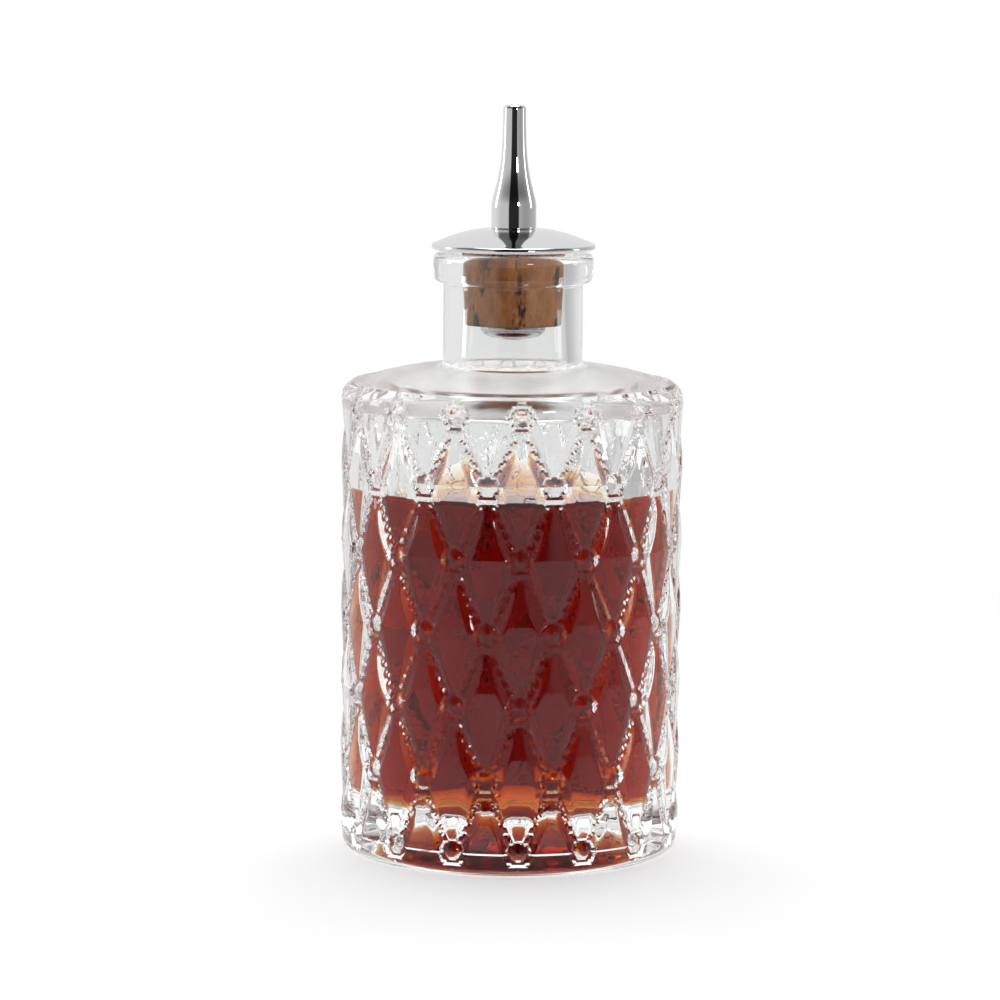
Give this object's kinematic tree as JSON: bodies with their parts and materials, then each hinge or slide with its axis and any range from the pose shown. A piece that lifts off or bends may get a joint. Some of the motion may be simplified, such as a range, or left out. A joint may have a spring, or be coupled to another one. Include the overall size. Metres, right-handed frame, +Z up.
{
  "type": "bitters bottle",
  "caption": "Heavy round pressed-glass bitters bottle with a quilted diamond pattern, part full, closed by a tapered cork that carries a domed metal disc and a slim dasher spout.",
  "frame": {"origin": "centre of the foot ring that the bottle stands on", "axes": "+Z up along the axis of the bottle, towards the spout; -Y is the front"},
  "size_m": [0.0668, 0.0668, 0.146],
  "materials": {
    "pressed_glass": "clear pressed glass, fire polished",
    "bitters": "dark red transparent liquid, amber where thin",
    "cork": "natural cork with dark pores",
    "polished_metal": "mirror polished plate",
    "tube_metal": "plain turned steel"
  },
  "bodies": {
    "bottle": {"glass_bottle": "pressed_glass", "bitters_liquid": "bitters"},
    "stopper": {"cork": "cork", "cap_disc": "polished_metal", "spout_nozzle": "polished_metal", "stem_tube": "tube_metal", "end_collar": "tube_metal"}
  },
  "joints": [
    {"name": "stopper_lift", "type": "slide", "parent": "bottle", "child": "stopper", "axis": [0, 0, 1], "range_m": [0, 0.05]}
  ]
}
